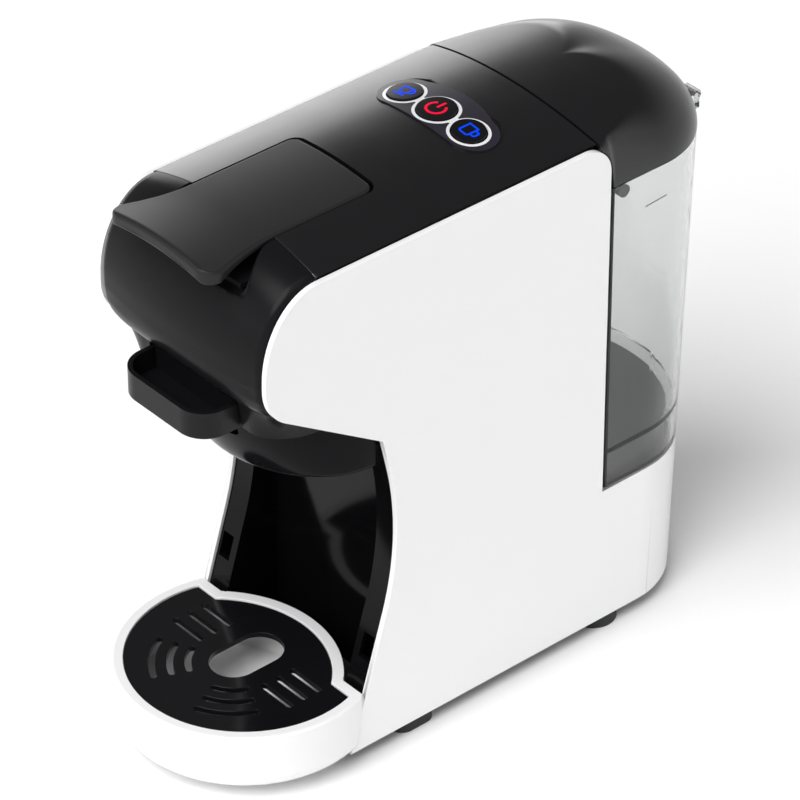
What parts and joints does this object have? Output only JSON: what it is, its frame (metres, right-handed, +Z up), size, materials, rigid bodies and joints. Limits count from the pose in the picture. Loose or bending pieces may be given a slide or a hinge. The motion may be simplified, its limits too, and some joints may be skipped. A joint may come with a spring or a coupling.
{
  "type": "pod coffee machine",
  "caption": "Compact pod coffee machine: lever-closed brew head over a cup bay, pull-out pod drawer, push buttons on an arched top, removable drip tray and rear water tank.",
  "frame": {"origin": "on the table, under the middle of the overall box", "axes": "+X towards the right side seen from the front, -Y towards the front where the drip tray is, +Z up"},
  "size_m": [0.117, 0.2954, 0.2718],
  "materials": {
    "right_shell": "gloss",
    "left_shell": "gloss",
    "base_plate": "matte",
    "base_screws": "brushed",
    "front_foot_left": "matte",
    "front_foot_right": "matte",
    "rear_foot_left": "matte",
    "rear_foot_right": "matte",
    "column_panel": "gloss",
    "soffit_plate": "gloss",
    "top_panel": "gloss",
    "head_cover": "gloss",
    "lever_well": "satin",
    "control_label": "satin",
    "button_bezel": "satin",
    "espresso_button": "gloss",
    "power_button": "gloss",
    "mug_button": "gloss",
    "button_board": "satin",
    "button_board_posts": "matte",
    "lever": "satin",
    "lever_pin": "brushed",
    "crank_pins": "brushed",
    "lift_link_left": "brushed",
    "lift_link_right": "brushed",
    "brew_carriage": "matte",
    "carriage_pins": "brushed",
    "brew_head": "cast",
    "brew_gasket": "matte",
    "needle_plate": "brushed",
    "brew_frame": "brushed",
    "guide_post_left": "brushed",
    "guide_post_right": "brushed",
    "pod_rail_left": "matte",
    "pod_rail_right": "matte",
    "pod_holder": "gloss",
    "nozzle_skirt": "gloss",
    "outlet_nozzle": "gloss",
    "drip_tray": "gloss",
    "drip_grid": "gloss",
    "tank_wall_panel": "satin",
    "tank_seat": "gloss",
    "tank_body": "clear",
    "tank_valve": "matte",
    "tank_lid": "gloss",
    "lid_hinge_pins": "brushed",
    "snap_lug_left": "satin",
    "snap_lug_right": "satin",
    "water_pump": "matte",
    "pump_mounts": "matte",
    "thermoblock": "cast",
    "thermoblock_bracket": "brushed",
    "main_board": "satin",
    "board_clips": "matte",
    "suction_hose": "matte",
    "pressure_hose": "matte",
    "cord_gland": "matte"
  },
  "bodies": {
    "base": {"right_shell": "right_shell", "left_shell": "left_shell", "base_plate": "base_plate", "base_screws": "base_screws", "front_foot_left": "front_foot_left", "front_foot_right": "front_foot_right", "rear_foot_left": "rear_foot_left", "rear_foot_right": "rear_foot_right", "column_panel": "column_panel", "soffit_plate": "soffit_plate", "top_panel": "top_panel", "head_cover": "head_cover", "lever_well": "lever_well", "control_label": "control_label", "button_bezel": "button_bezel", "button_board": "button_board", "button_board_posts": "button_board_posts", "lever_pin": "lever_pin", "brew_frame": "brew_frame", "guide_post_left": "guide_post_left", "guide_post_right": "guide_post_right", "pod_rail_left": "pod_rail_left", "pod_rail_right": "pod_rail_right", "nozzle_skirt": "nozzle_skirt", "outlet_nozzle": "outlet_nozzle", "tank_wall_panel": "tank_wall_panel", "tank_seat": "tank_seat", "water_pump": "water_pump", "pump_mounts": "pump_mounts", "thermoblock": "thermoblock", "thermoblock_bracket": "thermoblock_bracket", "main_board": "main_board", "board_clips": "board_clips", "suction_hose": "suction_hose", "pressure_hose": "pressure_hose", "cord_gland": "cord_gland"},
    "lever_arm": {"lever": "lever", "crank_pins": "crank_pins"},
    "lift_links": {"lift_link_left": "lift_link_left", "lift_link_right": "lift_link_right"},
    "brew_unit": {"brew_carriage": "brew_carriage", "carriage_pins": "carriage_pins", "brew_head": "brew_head", "brew_gasket": "brew_gasket", "needle_plate": "needle_plate"},
    "pod_drawer": {"pod_holder": "pod_holder"},
    "tank": {"tank_body": "tank_body", "tank_valve": "tank_valve", "lid_hinge_pins": "lid_hinge_pins", "snap_lug_left": "snap_lug_left", "snap_lug_right": "snap_lug_right"},
    "lid": {"tank_lid": "tank_lid"},
    "tray": {"drip_tray": "drip_tray"},
    "grid": {"drip_grid": "drip_grid"},
    "left_key": {"espresso_button": "espresso_button"},
    "middle_key": {"power_button": "power_button"},
    "right_key": {"mug_button": "mug_button"}
  },
  "joints": [
    {"name": "lever_swing", "type": "hinge", "parent": "base", "child": "lever_arm", "pos_m": [0, -0.0435, 0.2615], "axis": [-1, 0, 0], "range_deg": [0, 80]},
    {"name": "link_swing", "type": "hinge", "parent": "lever_arm", "child": "lift_links", "pos_m": [0, -0.05039, 0.25572], "axis": [1, 0, 0], "range_deg": [0, 80]},
    {"name": "brew_lift", "type": "slide", "parent": "base", "child": "brew_unit", "axis": [0, 0, 1], "range_m": [0, 0.01157]},
    {"name": "pod_drawer_slide", "type": "slide", "parent": "base", "child": "pod_drawer", "axis": [0, -1, 0], "range_m": [0, 0.075]},
    {"name": "tank_lift", "type": "slide", "parent": "base", "child": "tank", "axis": [0, 0, 1], "range_m": [0, 0.06]},
    {"name": "lid_hinge", "type": "hinge", "parent": "tank", "child": "lid", "pos_m": [0, 0.1449, 0.2375], "axis": [-1, 0, 0], "range_deg": [0, 95]},
    {"name": "tray_pull", "type": "slide", "parent": "base", "child": "tray", "axis": [0, -1, 0], "range_m": [0, 0.06]},
    {"name": "grid_lift", "type": "slide", "parent": "tray", "child": "grid", "axis": [0, 0, 1], "range_m": [0, 0.04]},
    {"name": "left_button_press", "type": "slide", "parent": "base", "child": "left_key", "axis": [0, 0, -1], "range_m": [0, 0.001], "stiffness_N_per_m": 1200},
    {"name": "middle_button_press", "type": "slide", "parent": "base", "child": "middle_key", "axis": [0, 0, -1], "range_m": [0, 0.001], "stiffness_N_per_m": 1200},
    {"name": "right_button_press", "type": "slide", "parent": "base", "child": "right_key", "axis": [0, 0, -1], "range_m": [0, 0.001], "stiffness_N_per_m": 1200}
  ],
  "couplings": [
    {"joint": "lever_swing", "follows": "brew_lift", "rad_per_m": 120.68},
    {"joint": "link_swing", "follows": "brew_lift", "rad_per_m": 120.68}
  ]
}
